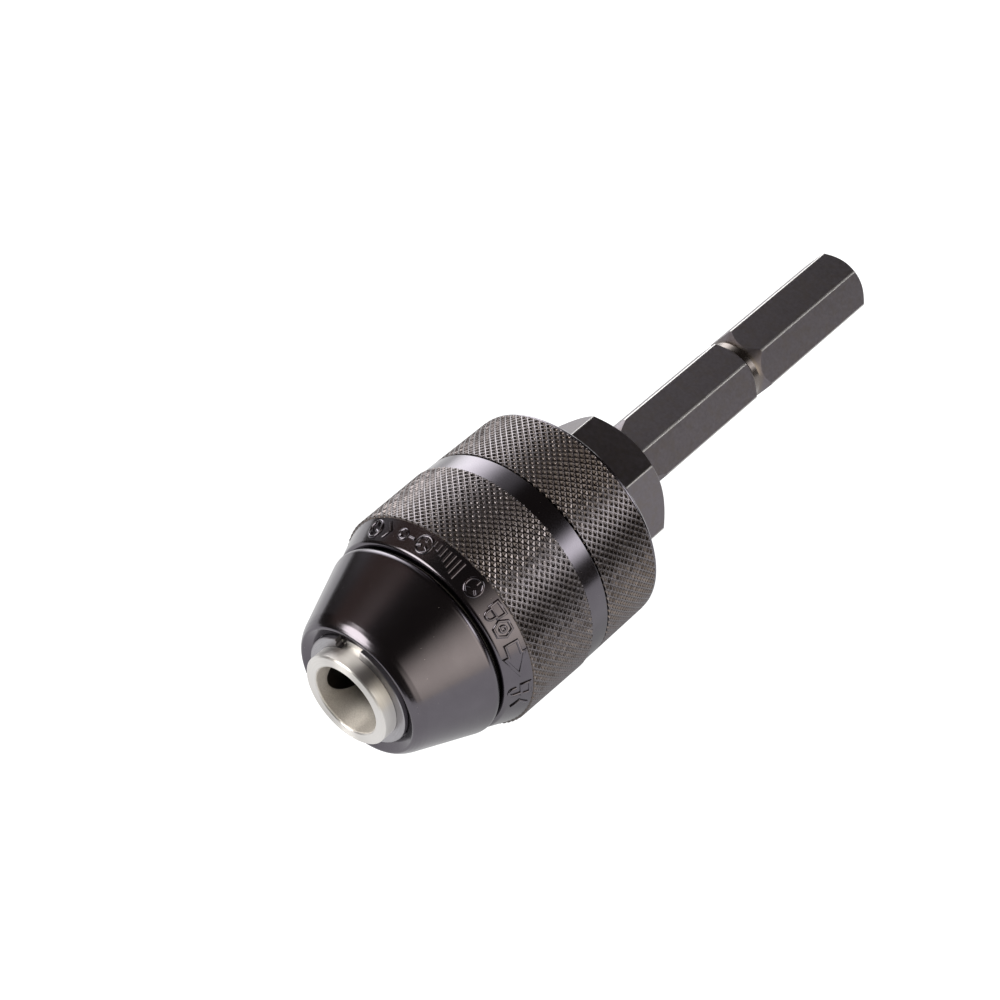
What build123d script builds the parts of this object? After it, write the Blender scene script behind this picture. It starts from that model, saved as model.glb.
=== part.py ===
from build123d import *
from math import cos
from math import pi
from math import radians
from math import sin
from math import tan
import os

# Keyless drill chuck, 1.5 to 13 mm, on a half-inch hex shank. Millimetres.
#
# Frame: +Y runs from the nose to the tail along the spindle axis, +Z is square to one flat of
# the hex shank, and the origin is the centre of the nose face. "Station" means a position along
# +Y, and "angle" is measured from +X towards +Z.

# Tool side
CAPACITY_MIN = 1.5
NOSE_RADIUS = 8.93
BORE_RADIUS = 6.67
BORE_DEPTH = 30.0
BORE_CHAMFER = 0.3
BORE_RELIEF_FRONT = 6.4
BORE_RELIEF_RADIUS = 6.75
NOSE_CHAMFER = 0.25

# Jaws
JAW_COUNT = 3
JAW_FIRST_ANGLE = 85.0
JAW_TILT = 15.0
JAW_RADIUS = 3.85
JAW_FIT = 0.05
JAW_HOLE_MOUTH = 2.0
JAW_TIP = 6.5
JAW_LENGTH = 42.0
JAW_EDGE_RADIUS = 6.62
JAW_EDGE_FLAT = 0.8
JAW_TOOTH_PITCH = 2.0
JAW_TOOTH_DEPTH = 0.9
JAW_TOOTH_START = 14.0
JAW_END_CHAMFER = 0.6

# Body steps, front to rear
RING_SEAT_RADIUS = 8.5
RING_FRONT = 2.85
RING_REAR = 4.15
RING_GROOVE_CLEAR = 0.05
CAP_SEAT_FRONT = 4.2
CAP_SEAT_RADIUS = 9.55
CAP_SHOULDER = 6.2
BODY_CONE_FRONT_RADIUS = 11.4
BODY_CONE_REAR = 13.5
BODY_FRONT_RADIUS = 14.2
NUT_GROOVE_FRONT = 20.8
NUT_GROOVE_RADIUS = 11.6
FLANGE_FRONT = 35.05
SKIRT_SEAT_RADIUS = 18.7
GUIDE_FRONT = 38.0
GUIDE_REAR = 41.0
GUIDE_GROOVE_RADIUS = 17.9
FLANGE_STEP = 42.45
FLANGE_RADIUS = 19.2
FLANGE_REAR = 54.2
BOSS_RADIUS = 12.4
BOSS_REAR = 57.0

# Split nut and its ring
NUT_FRONT = 21.0
NUT_REAR = 30.65
NUT_RADIUS = 17.4
NUT_SPLIT_GAP = 0.12
NUT_THREAD_CLEAR = 0.15
NUT_RING_FRONT = 21.35

# Thrust bearing
BEARING_CENTRE = 32.85
BEARING_PITCH_RADIUS = 17.3
BEARING_INNER_RADIUS = 16.0
BEARING_OUTER_RADIUS = 18.6
BALL_RADIUS = 1.0
BALL_COUNT = 30
RACE_GAP = 1.6
RACEWAY_CLEAR = 0.02
CAGE_THICKNESS = 1.0
CAGE_INNER_RADIUS = 16.15
CAGE_OUTER_RADIUS = 18.45
CAGE_POCKET_CLEAR = 0.06

# Nose cap. The lip in front is rolled over: each corner's station, radius and rounding.
CAP_LIP = ((2.692, 12.606, 0.45), (3.3, 13.214, 1.8), (4.0, 13.686, 3.0), (4.8, 14.076, 4.0))
CAP_REAR = 18.0
CAP_REAR_RADIUS = 19.449
CAP_REAR_ROUND = 1.3
CAP_RECESS_STATION = 3.87
CAP_RECESS_RADIUS = 10.72
CAP_FIT = 0.05
CAP_CAVITY_FRONT_RADIUS = 12.4
CAP_BORE_FRONT = 13.2
SPIGOT_RADIUS = 16.6
SPIGOT_REAR = 20.1

# Snap ring
SNAP_OUTER_RADIUS = 10.62
SNAP_GAP_CENTRE = 103.5
SNAP_GAP_ANGLE = 31.0
RELEASE_HOLE_RADIUS = 0.7
RELEASE_HOLE_REACH = 9.3
RELEASE_HOLE_ANGLE = 117.0
RELEASE_HOLE_REAR = 7.0

# Front sleeve
SLEEVE_FRONT = 18.35
SLEEVE_REAR = 42.3
LIP_BORE_RADIUS = 17.6
LIP_BORE_REAR = 21.3
SLEEVE_BORE_RADIUS = 19.0
BAND_CONE_STATION = 20.0
BAND_CONE_RADIUS = 19.73
BAND_CONE_SLOPE = 0.415
SLEEVE_FRONT_ROUND = 0.8
KNURL_FRONT = 23.1
KNURL_REAR = 38.1
KNURL_FRONT_RADIUS = 21.37
KNURL_REAR_RADIUS = 21.61
KNURL_EDGE = 0.25
PLAIN_BAND_RADIUS = 21.40

# Rear sleeve
HOLDER_FRONT = 42.5
HOLDER_REAR = 56.2
HOLDER_FRONT_RADIUS = 21.40
HOLDER_KNURL_REAR = 55.3
HOLDER_REAR_RADIUS = 21.34
HOLDER_FACE_RADIUS = 20.2
HOLDER_BORE_RADIUS = 12.6

# Seals, bush and spring
SEAL_FRONT = 18.05
SEAL_REAR = 19.6
SEAL_RADIUS = 17.5
GUIDE_RADIUS = 18.95
GUIDE_SPLIT = 1.5
WAVE_INNER_RADIUS = 14.6
WAVE_OUTER_RADIUS = 16.5
WAVE_FRONT = 20.15
WAVE_REAR = 20.95
WAVE_THICKNESS = 0.35
WAVE_COUNT = 4
WAVE_GAP_ANGLE = 3.0

# Shank adapter
COLLAR_ACROSS_FLATS = 24.0
COLLAR_CORNER_ANGLE = 49.1
COLLAR_FRONT = 57.0
COLLAR_REAR = 69.9
COLLAR_FACE_RADIUS = 11.75
COLLAR_CHAMFER = 1.6
NECK_RADIUS = 6.42
NECK_CORNERS = (0, 120, 240)
NECK_REAR = 72.4
NECK_RUN_OUT = 77.2
SHANK_ACROSS_FLATS = 12.7
SHANK_CORNER_RADIUS = 7.25
SHANK_ROOT_FLOOR = 6.3
SHANK_ROOT_FILLET = 2.0
SHANK_REAR = 139.8
SHANK_END_CHAMFER = 1.35
GROOVE_FRONT = 103.8
GROOVE_FLOOR_FRONT = 104.7
GROOVE_FLOOR_REAR = 106.3
GROOVE_REAR = 108.6
GROOVE_RADIUS = 5.95
GROOVE_ROUND = 0.6

# Spindle thread, half-inch 20 per inch, and the screw that locks it
SPINDLE_THREAD_RADIUS = 6.35
SPINDLE_THREAD_PITCH = 1.27
SPINDLE_THREAD_DEPTH = 0.7
THREAD_CLEAR = 0.06
SOCKET_FRONT = 37.6
STUD_FRONT = 38.6
STUD_THREAD_FRONT = 40.1
STUD_THREAD_REAR = 55.0
SCREW_THREAD_RADIUS = 3.0
SCREW_THREAD_PITCH = 1.0
SCREW_THREAD_DEPTH = 0.55
SCREW_THREAD_FRONT = 40.0
SCREW_THREAD_REAR = 50.0
SCREW_CLEAR_RADIUS = 3.2
SCREW_HEAD_FRONT = 30.3
SCREW_HEAD_REAR = 33.2
SCREW_HEAD_RADIUS = 5.2
SCREW_HEAD_CLEAR = 0.2
SCREW_REAR = 50.2
SCREW_HOLE_REAR = 52.0
SCREW_SOCKET_FLATS = 4.0
SCREW_SOCKET_DEPTH = 2.0

# Worked out
JAW_SLOPE = tan(radians(JAW_TILT))
JAW_HOLE_RADIUS = JAW_RADIUS + JAW_FIT
HOLE_HALF_WIDTH = JAW_HOLE_RADIUS / cos(radians(JAW_TILT))
HOLE_AXIS_AT_ORIGIN = BORE_RADIUS - JAW_HOLE_MOUTH * JAW_SLOPE - HOLE_HALF_WIDTH
JAW_TRAVEL = (JAW_EDGE_RADIUS - CAPACITY_MIN / 2) / sin(radians(JAW_TILT))
RACE_FRONT = BEARING_CENTRE - RACE_GAP / 2
RACE_REAR = BEARING_CENTRE + RACE_GAP / 2


def turned(outline, rounds=()):
    """A solid of revolution about the spindle axis. The outline's points are (station, radius),
    and rounds gives (station, radius, fillet) for the corners that are rounded."""
    points = [(radius, station) for station, radius in outline]
    face = make_face(Polyline(*points, close=True))
    for station, radius, size in rounds:
        corner = face.vertices().sort_by_distance((radius, station, 0))[0]
        face = fillet(corner, size)
    return revolve(face, Axis.Y)


def tube(front, rear, inner, outer):
    """A plain ring about the spindle axis."""
    return turned([(front, inner), (rear, inner), (rear, outer), (front, outer)])


def rod(front, rear, radius):
    """A plain cylinder about the spindle axis."""
    return turned([(front, 0), (rear, 0), (rear, radius), (front, radius)])


def thread_rings(front, rear, base, pitch, height, slope=0.0):
    """The points of a row of ridges that stand in for a thread, from a base radius. A negative
    height makes them stand or cut inwards, and slope makes the row conical."""
    points = []
    for turn in range(int((rear - front) / pitch)):
        for share, rise in ((0.1, 0.0), (0.4, height), (0.6, height), (0.9, 0.0)):
            station = front + (turn + share) * pitch
            points.append((station, base + (station - front) * slope + rise))
    return points


def hexagon_bar(front, rear, across_flats, corner_angle):
    """A hexagonal bar about the spindle axis, with a corner at corner_angle."""
    corner_radius = across_flats / 3 ** 0.5
    plane = Plane(origin=(0, front, 0), x_dir=(1, 0, 0), z_dir=(0, 1, 0))
    outline = plane * Rot(0, 0, -corner_angle) * RegularPolygon(corner_radius, 6)
    return extrude(outline, rear - front)


def at_angle(shape, angle):
    """Turns a shape about the spindle axis, from +X towards +Z."""
    return Rot(0, -angle, 0) * shape


def jaw_axis_radius(station):
    """How far the axis of a jaw hole is from the spindle axis."""
    return HOLE_AXIS_AT_ORIGIN + station * JAW_SLOPE


def jaw_outer_radius(station):
    """How far the outermost line of a jaw hole is from the spindle axis."""
    return BORE_RADIUS + (station - JAW_HOLE_MOUTH) * JAW_SLOPE


def jaw_rod(front, length, radius):
    """A cylinder along the jaw axis in the plane of angle 0, from a station, length long."""
    lean = (JAW_SLOPE, 1, 0)
    plane = Plane(origin=(jaw_axis_radius(front), front, 0), z_dir=lean)
    return extrude(plane * Circle(radius), length)


def jaw_teeth_cutter(shift):
    """The rings that leave a jaw's outer side toothed. Each jaw's rings are shifted by its share
    of a pitch, because the nut's thread reaches one jaw after another."""
    first = JAW_TIP + JAW_TOOTH_START + shift
    last = JAW_TIP + JAW_LENGTH
    pitch = JAW_TOOTH_PITCH * cos(radians(JAW_TILT))
    crest = jaw_outer_radius(first) - JAW_FIT
    points = thread_rings(first, last, crest, pitch, -JAW_TOOTH_DEPTH, JAW_SLOPE)
    outside_front = crest + JAW_RADIUS
    outside_rear = outside_front + (last - first) * JAW_SLOPE
    return turned(points + [(points[-1][0], outside_rear), (points[0][0], outside_front)])


def grip_faces_cutter():
    """The room that a jaw leaves free for the tool: everything inside two planes at 120 degrees
    that meet near the gripping edge, where a narrow flat lies parallel to the spindle axis."""
    half_flat = JAW_EDGE_FLAT / 2
    reach = 3 * JAW_RADIUS
    inner = JAW_EDGE_RADIUS - reach
    outer = JAW_EDGE_RADIUS + reach / tan(radians(60))
    outline = Polyline(
        (inner, reach), (outer, reach), (JAW_EDGE_RADIUS, half_flat),
        (JAW_EDGE_RADIUS, -half_flat), (outer, -reach), (inner, -reach), close=True)
    plane = Plane(origin=(0, 0, 0), x_dir=(1, 0, 0), z_dir=(0, -1, 0))
    face = plane * make_face(outline)
    return extrude(face, -2 * JAW_LENGTH)


def jaw(index):
    """One jaw at rest, drawn back until the chuck is fully open."""
    tail_end = JAW_TIP + JAW_LENGTH * cos(radians(JAW_TILT))
    blank = jaw_rod(0, tail_end / cos(radians(JAW_TILT)), JAW_RADIUS)
    blank = chamfer(blank.edges().filter_by(GeomType.CIRCLE).sort_by(Axis.Y)[-1], JAW_END_CHAMFER)
    solid = blank - rod(-2 * JAW_RADIUS, JAW_TIP, 2 * JAW_RADIUS + BORE_RADIUS)
    solid -= grip_faces_cutter()
    solid -= jaw_teeth_cutter(index * JAW_TOOTH_PITCH / JAW_COUNT)
    return at_angle(solid, JAW_FIRST_ANGLE + index * 360 / JAW_COUNT)


def release_hole(front):
    """The small drilled recess at one end of the snap ring, in which a pick lifts the ring out."""
    plane = Plane(origin=(RELEASE_HOLE_REACH, front, 0), x_dir=(1, 0, 0), z_dir=(0, 1, 0))
    hole = extrude(plane * Circle(RELEASE_HOLE_RADIUS), RELEASE_HOLE_REAR - front)
    return at_angle(hole, RELEASE_HOLE_ANGLE)


def chuck_body():
    """The turned core: nose, cap seat, nut groove, bearing flange and tail boss, with the tool
    bore from the front, the spindle thread from the rear and three slanting jaw holes."""
    groove_front = RING_FRONT - RING_GROOVE_CLEAR
    groove_radius = RING_SEAT_RADIUS - RING_GROOVE_CLEAR
    outside = [
        (0, BORE_RADIUS + BORE_CHAMFER), (0, NOSE_RADIUS - NOSE_CHAMFER), (NOSE_CHAMFER, NOSE_RADIUS),
        (groove_front, NOSE_RADIUS), (groove_front, groove_radius), (CAP_SEAT_FRONT, groove_radius),
        (CAP_SEAT_FRONT, CAP_SEAT_RADIUS), (CAP_SHOULDER, CAP_SEAT_RADIUS),
        (CAP_SHOULDER, BODY_CONE_FRONT_RADIUS), (BODY_CONE_REAR, BODY_FRONT_RADIUS),
        (NUT_GROOVE_FRONT, BODY_FRONT_RADIUS), (NUT_GROOVE_FRONT, NUT_GROOVE_RADIUS),
        (FLANGE_FRONT, NUT_GROOVE_RADIUS), (FLANGE_FRONT, SKIRT_SEAT_RADIUS),
        (GUIDE_FRONT, SKIRT_SEAT_RADIUS), (GUIDE_FRONT, GUIDE_GROOVE_RADIUS),
        (GUIDE_REAR, GUIDE_GROOVE_RADIUS), (GUIDE_REAR, SKIRT_SEAT_RADIUS),
        (FLANGE_STEP, SKIRT_SEAT_RADIUS), (FLANGE_STEP, FLANGE_RADIUS),
        (FLANGE_REAR, FLANGE_RADIUS), (FLANGE_REAR, BOSS_RADIUS), (BOSS_REAR, BOSS_RADIUS),
    ]
    major = SPINDLE_THREAD_RADIUS + THREAD_CLEAR
    thread = thread_rings(
        STUD_THREAD_FRONT + SPINDLE_THREAD_PITCH / 2, BOSS_REAR, major,
        SPINDLE_THREAD_PITCH, -SPINDLE_THREAD_DEPTH)
    head_radius = SCREW_HEAD_RADIUS + SCREW_HEAD_CLEAR
    inside = [
        (BOSS_REAR, major), *reversed(thread), (SOCKET_FRONT, major),
        (SOCKET_FRONT, SCREW_CLEAR_RADIUS), (SCREW_HEAD_REAR, SCREW_CLEAR_RADIUS),
        (SCREW_HEAD_REAR, head_radius), (BORE_DEPTH, head_radius),
        (BORE_DEPTH, BORE_RELIEF_RADIUS), (BORE_RELIEF_FRONT, BORE_RADIUS),
        (BORE_CHAMFER, BORE_RADIUS),
    ]
    solid = turned(outside + inside) - release_hole(groove_front)
    hole_length = 1.15 * BOSS_REAR / cos(radians(JAW_TILT))
    for index in range(JAW_COUNT):
        hole = jaw_rod(0, hole_length, JAW_HOLE_RADIUS)
        solid -= at_angle(hole, JAW_FIRST_ANGLE + index * 360 / JAW_COUNT)
    return solid


def nut_halves():
    """The two halves of the split nut. The thread is drawn as rings that just clear the jaws."""
    crest = jaw_outer_radius(NUT_FRONT) + NUT_THREAD_CLEAR
    pitch = JAW_TOOTH_PITCH * cos(radians(JAW_TILT))
    points = thread_rings(NUT_FRONT, NUT_REAR, crest, pitch, JAW_TOOTH_DEPTH, JAW_SLOPE)
    rear_radius = jaw_outer_radius(NUT_REAR) + NUT_THREAD_CLEAR
    outside = [(NUT_REAR, rear_radius), (NUT_REAR, NUT_RADIUS), (NUT_FRONT, NUT_RADIUS)]
    ring = turned([(NUT_FRONT, crest), *points, *outside])
    reach = 2 * NUT_RADIUS
    keep = Box(reach, 2 * NUT_REAR, reach, align=(Align.CENTER, Align.CENTER, Align.MIN))
    keep = Pos(0, NUT_REAR, NUT_SPLIT_GAP / 2) * keep
    half = ring & keep
    return half, at_angle(half, 180)


def nut_ring():
    """The steel jacket pressed over the nut halves, which holds them together."""
    return tube(NUT_RING_FRONT, NUT_REAR, NUT_RADIUS, SLEEVE_BORE_RADIUS)


def raceway():
    """The circular groove in which the balls roll, as a torus."""
    circle = Pos(BEARING_PITCH_RADIUS, BEARING_CENTRE) * Circle(BALL_RADIUS + RACEWAY_CLEAR)
    return revolve(circle, Axis.Y)


def thrust_race_front():
    return tube(NUT_REAR, RACE_FRONT, BEARING_INNER_RADIUS, BEARING_OUTER_RADIUS) - raceway()


def thrust_race_rear():
    return tube(RACE_REAR, FLANGE_FRONT, BEARING_INNER_RADIUS, BEARING_OUTER_RADIUS) - raceway()


def ball_places():
    """The centres of the balls, evenly round the pitch circle."""
    first = Pos(BEARING_PITCH_RADIUS, BEARING_CENTRE, 0)
    return [Rot(0, -360 * index / BALL_COUNT, 0) * first for index in range(BALL_COUNT)]


def thrust_balls():
    return Compound(children=[place * Sphere(BALL_RADIUS) for place in ball_places()])


def ball_cage():
    """The flat ring that keeps the balls apart, with one drilled pocket for each."""
    front = BEARING_CENTRE - CAGE_THICKNESS / 2
    ring = tube(front, front + CAGE_THICKNESS, CAGE_INNER_RADIUS, CAGE_OUTER_RADIUS)
    pocket = Rot(90, 0, 0) * Cylinder(BALL_RADIUS + CAGE_POCKET_CLEAR, 2 * CAGE_THICKNESS)
    return ring - [place * pocket for place in ball_places()]


def nose_cap():
    """The conical cover over the front of the body, recessed in front inside a rolled lip. Its
    flange sits behind the snap ring and its rear spigot centres on the body."""
    bore = BODY_FRONT_RADIUS + CAP_FIT
    outline = [
        *(corner[:2] for corner in CAP_LIP), (CAP_REAR, CAP_REAR_RADIUS), (CAP_REAR, SPIGOT_RADIUS),
        (SPIGOT_REAR, SPIGOT_RADIUS), (SPIGOT_REAR, bore), (CAP_BORE_FRONT, bore),
        (CAP_SHOULDER, CAP_CAVITY_FRONT_RADIUS), (CAP_SHOULDER, CAP_SEAT_RADIUS + CAP_FIT),
        (CAP_SEAT_FRONT, CAP_SEAT_RADIUS + CAP_FIT), (CAP_SEAT_FRONT, CAP_RECESS_RADIUS),
        (CAP_RECESS_STATION, CAP_RECESS_RADIUS),
    ]
    return turned(outline, [*CAP_LIP, (CAP_REAR, CAP_REAR_RADIUS, CAP_REAR_ROUND)])


def snap_ring():
    """The open spring ring in the nose groove, with the release hole bitten out of one end."""
    ring = tube(RING_FRONT, RING_REAR, RING_SEAT_RADIUS, SNAP_OUTER_RADIUS)
    ring = chamfer(ring.edges().filter_by(GeomType.CIRCLE).group_by(SortBy.RADIUS)[-1], 0.15)
    half = radians(SNAP_GAP_ANGLE / 2)
    reach = 2 * SNAP_OUTER_RADIUS
    wedge = Polyline((0, 0), (reach, reach * tan(half)), (reach, -reach * tan(half)), close=True)
    plane = Plane(origin=(0, RING_FRONT - 1, 0), x_dir=(1, 0, 0), z_dir=(0, 1, 0))
    ring -= at_angle(extrude(plane * make_face(wedge), 3), SNAP_GAP_CENTRE)
    return ring - release_hole(RING_FRONT - 1)


def front_sleeve():
    """The sleeve that is turned by hand: a conical mark band, a knurl and a plain band. The knurl
    is drawn as the surface through its crests."""
    def band_radius(station):
        return BAND_CONE_RADIUS + (station - BAND_CONE_STATION) * BAND_CONE_SLOPE
    outline = [
        (SLEEVE_FRONT, LIP_BORE_RADIUS), (SLEEVE_FRONT, band_radius(SLEEVE_FRONT)),
        (KNURL_FRONT, band_radius(KNURL_FRONT)), (KNURL_FRONT + KNURL_EDGE, KNURL_FRONT_RADIUS),
        (KNURL_REAR - KNURL_EDGE, KNURL_REAR_RADIUS), (KNURL_REAR, PLAIN_BAND_RADIUS),
        (SLEEVE_REAR, PLAIN_BAND_RADIUS), (SLEEVE_REAR, SLEEVE_BORE_RADIUS),
        (LIP_BORE_REAR, SLEEVE_BORE_RADIUS), (LIP_BORE_REAR, LIP_BORE_RADIUS),
    ]
    rounds = [
        (SLEEVE_FRONT, band_radius(SLEEVE_FRONT), SLEEVE_FRONT_ROUND),
        (SLEEVE_REAR, PLAIN_BAND_RADIUS, 0.15),
    ]
    return turned(outline, rounds)


def rear_sleeve():
    """The fixed sleeve pressed on the body's flange, which is held while the other is turned."""
    outline = [
        (HOLDER_FRONT, FLANGE_RADIUS), (HOLDER_FRONT, HOLDER_FRONT_RADIUS),
        (HOLDER_KNURL_REAR, HOLDER_REAR_RADIUS), (HOLDER_REAR, HOLDER_FACE_RADIUS),
        (HOLDER_REAR, HOLDER_BORE_RADIUS), (FLANGE_REAR, HOLDER_BORE_RADIUS),
        (FLANGE_REAR, FLANGE_RADIUS),
    ]
    rounds = [
        (HOLDER_FRONT, HOLDER_FRONT_RADIUS, 0.1),
        (HOLDER_KNURL_REAR, HOLDER_REAR_RADIUS, 0.5),
        (HOLDER_REAR, HOLDER_FACE_RADIUS, 0.5),
    ]
    return turned(outline, rounds)


def dust_seal():
    """The felt ring on the cap's spigot that closes the gap under the sleeve's front lip."""
    return tube(SEAL_FRONT, SEAL_REAR, SPIGOT_RADIUS, SEAL_RADIUS)


def guide_ring():
    """The split polymer bush in the flange's groove, on which the sleeve's skirt turns."""
    ring = tube(GUIDE_FRONT, GUIDE_REAR, GUIDE_GROOVE_RADIUS, GUIDE_RADIUS)
    towards_floor = (Align.CENTER, Align.CENTER, Align.MAX)
    split = Box(GUIDE_SPLIT, 2 * GUIDE_REAR + 1, GUIDE_RADIUS, align=towards_floor)
    return ring - split


def wave_section(turn):
    """The flat section of the wave washer at an angle round it, on the waved centre line."""
    amplitude = (WAVE_REAR - WAVE_FRONT - WAVE_THICKNESS) / 2
    mean_radius = (WAVE_INNER_RADIUS + WAVE_OUTER_RADIUS) / 2
    station = (WAVE_REAR + WAVE_FRONT) / 2 + amplitude * cos(WAVE_COUNT * turn)
    slope = -amplitude * WAVE_COUNT * sin(WAVE_COUNT * turn)
    along = (-mean_radius * sin(turn), slope, mean_radius * cos(turn))
    centre = (mean_radius * cos(turn), station, mean_radius * sin(turn))
    plane = Plane(origin=centre, x_dir=(cos(turn), 0, sin(turn)), z_dir=along)
    return plane * Rectangle(WAVE_OUTER_RADIUS - WAVE_INNER_RADIUS, WAVE_THICKNESS)


def wave_washer():
    """The one-turn waved spring between the cap's spigot and the nut, open at its ends."""
    steps = 12 * WAVE_COUNT
    gap = radians(WAVE_GAP_ANGLE)
    turns = [gap / 2 + (2 * pi - gap) * step / steps for step in range(steps + 1)]
    return loft([wave_section(turn) for turn in turns])


def hex_collar():
    """The wrench collar, chamfered on both faces by a turned cone."""
    bar = hexagon_bar(COLLAR_FRONT, COLLAR_REAR, COLLAR_ACROSS_FLATS, COLLAR_CORNER_ANGLE)
    reach = COLLAR_ACROSS_FLATS
    rise = (reach - COLLAR_FACE_RADIUS) * COLLAR_CHAMFER / (reach / 3 ** 0.5 - COLLAR_FACE_RADIUS)
    turned_blank = turned([
        (COLLAR_FRONT, 0), (COLLAR_FRONT, COLLAR_FACE_RADIUS), (COLLAR_FRONT + rise, reach),
        (COLLAR_REAR - rise, reach), (COLLAR_REAR, COLLAR_FACE_RADIUS), (COLLAR_REAR, 0)])
    return bar & turned_blank


def neck_relief(corner_angle):
    """The room beside the collar where one corner of the hex shank is turned down."""
    ring = turned([
        (COLLAR_REAR, NECK_RADIUS), (NECK_REAR, NECK_RADIUS), (NECK_RUN_OUT, SHANK_CORNER_RADIUS),
        (NECK_RUN_OUT, COLLAR_FACE_RADIUS), (COLLAR_REAR, COLLAR_FACE_RADIUS)])
    side = 2 * COLLAR_FACE_RADIUS
    plane = Plane(origin=(0, COLLAR_REAR, 0), x_dir=(1, 0, 0), z_dir=(0, 1, 0))
    outline = make_face(Polyline((0, 0), (side, -side * tan(radians(30))),
                                 (side, side * tan(radians(30))), close=True))
    return at_angle(ring & extrude(plane * outline, NECK_RUN_OUT - COLLAR_REAR), corner_angle)


def root_fillet():
    """The turned fillet between the shank and the collar's rear face."""
    outer = SHANK_ROOT_FLOOR + SHANK_ROOT_FILLET
    rear = COLLAR_REAR + SHANK_ROOT_FILLET
    ring = tube(COLLAR_REAR - 1, rear, SHANK_ROOT_FLOOR - 1, outer)
    return ring - revolve(Pos(outer, rear) * Circle(SHANK_ROOT_FILLET), Axis.Y)


def hex_shank():
    """The hex shank with its chamfered end and retaining groove. Every second corner is turned
    down next to the collar."""
    blank = turned([
        (COLLAR_REAR - 1, 0), (COLLAR_REAR - 1, SHANK_CORNER_RADIUS),
        (SHANK_REAR - SHANK_END_CHAMFER, SHANK_CORNER_RADIUS),
        (SHANK_REAR, SHANK_CORNER_RADIUS - SHANK_END_CHAMFER), (SHANK_REAR, 0)])
    groove = turned(
        [(GROOVE_FRONT, SHANK_CORNER_RADIUS), (GROOVE_FLOOR_FRONT, GROOVE_RADIUS),
         (GROOVE_FLOOR_REAR, GROOVE_RADIUS), (GROOVE_REAR, SHANK_CORNER_RADIUS),
         (GROOVE_REAR, COLLAR_FACE_RADIUS), (GROOVE_FRONT, COLLAR_FACE_RADIUS)],
        [(GROOVE_FLOOR_FRONT, GROOVE_RADIUS, GROOVE_ROUND),
         (GROOVE_FLOOR_REAR, GROOVE_RADIUS, GROOVE_ROUND)])
    bar = blank & hexagon_bar(COLLAR_REAR - 1, SHANK_REAR, SHANK_ACROSS_FLATS, 0)
    bar -= groove
    for corner_angle in NECK_CORNERS:
        bar -= neck_relief(corner_angle)
    return bar + root_fillet()


def spindle_stud():
    """The threaded stud in front of the collar, drilled and tapped for the locking screw."""
    core = SPINDLE_THREAD_RADIUS - SPINDLE_THREAD_DEPTH
    thread = thread_rings(
        STUD_THREAD_FRONT, STUD_THREAD_REAR, core, SPINDLE_THREAD_PITCH, SPINDLE_THREAD_DEPTH)
    tap_major = SCREW_THREAD_RADIUS + THREAD_CLEAR
    tapped = thread_rings(
        SCREW_THREAD_FRONT + SCREW_THREAD_PITCH / 2, SCREW_HOLE_REAR, tap_major,
        SCREW_THREAD_PITCH, -SCREW_THREAD_DEPTH)
    return turned([
        (STUD_FRONT, tap_major), (STUD_FRONT, core), *thread, (COLLAR_FRONT + 1, core),
        (COLLAR_FRONT + 1, 0), (SCREW_HOLE_REAR + tap_major / 2, 0), (SCREW_HOLE_REAR, tap_major),
        *reversed(tapped)])


def shank_adapter():
    """Stud, collar and hex shank, machined from one bar."""
    return spindle_stud() + hex_collar() + hex_shank()


def retaining_screw():
    """The left-hand screw in the bore that locks the body on the stud."""
    core = SCREW_THREAD_RADIUS - SCREW_THREAD_DEPTH
    thread = thread_rings(
        SCREW_THREAD_FRONT, SCREW_THREAD_REAR, core, SCREW_THREAD_PITCH, SCREW_THREAD_DEPTH)
    solid = turned([
        (SCREW_HEAD_FRONT, 0), (SCREW_HEAD_FRONT, SCREW_HEAD_RADIUS),
        (SCREW_HEAD_REAR, SCREW_HEAD_RADIUS),
        (SCREW_HEAD_REAR, SCREW_THREAD_RADIUS), (SCREW_THREAD_FRONT - 0.5, SCREW_THREAD_RADIUS),
        (SCREW_THREAD_FRONT - 0.5, core), *thread, (SCREW_REAR, core), (SCREW_REAR, 0)],
        [(SCREW_HEAD_FRONT, SCREW_HEAD_RADIUS, 0.6)])
    socket_rear = SCREW_HEAD_FRONT + SCREW_SOCKET_DEPTH
    return solid - hexagon_bar(SCREW_HEAD_FRONT - 1, socket_rear, SCREW_SOCKET_FLATS, 0)


def main():
    os.makedirs("parts", exist_ok=True)
    half_a, half_b = nut_halves()
    parts = {
        "chuck_body": chuck_body(),
        "nut_half_a": half_a,
        "nut_half_b": half_b,
        "nut_ring": nut_ring(),
        "thrust_race_front": thrust_race_front(),
        "thrust_race_rear": thrust_race_rear(),
        "ball_cage": ball_cage(),
        "thrust_balls": thrust_balls(),
        "nose_cap": nose_cap(),
        "snap_ring": snap_ring(),
        "front_sleeve": front_sleeve(),
        "rear_sleeve": rear_sleeve(),
        "dust_seal": dust_seal(),
        "guide_ring": guide_ring(),
        "wave_washer": wave_washer(),
        "shank_adapter": shank_adapter(),
        "retaining_screw": retaining_screw(),
    }
    for index in range(JAW_COUNT):
        parts[f"jaw_{index + 1}"] = jaw(index)
    for name, shape in parts.items():
        export_step(shape, f"parts/{name}.step")
    print("jaw travel", round(JAW_TRAVEL, 3), "mm, jaw tilt", JAW_TILT, "degrees")


main()
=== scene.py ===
import math

import bmesh
import bpy
from mathutils import Matrix, Vector


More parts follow.
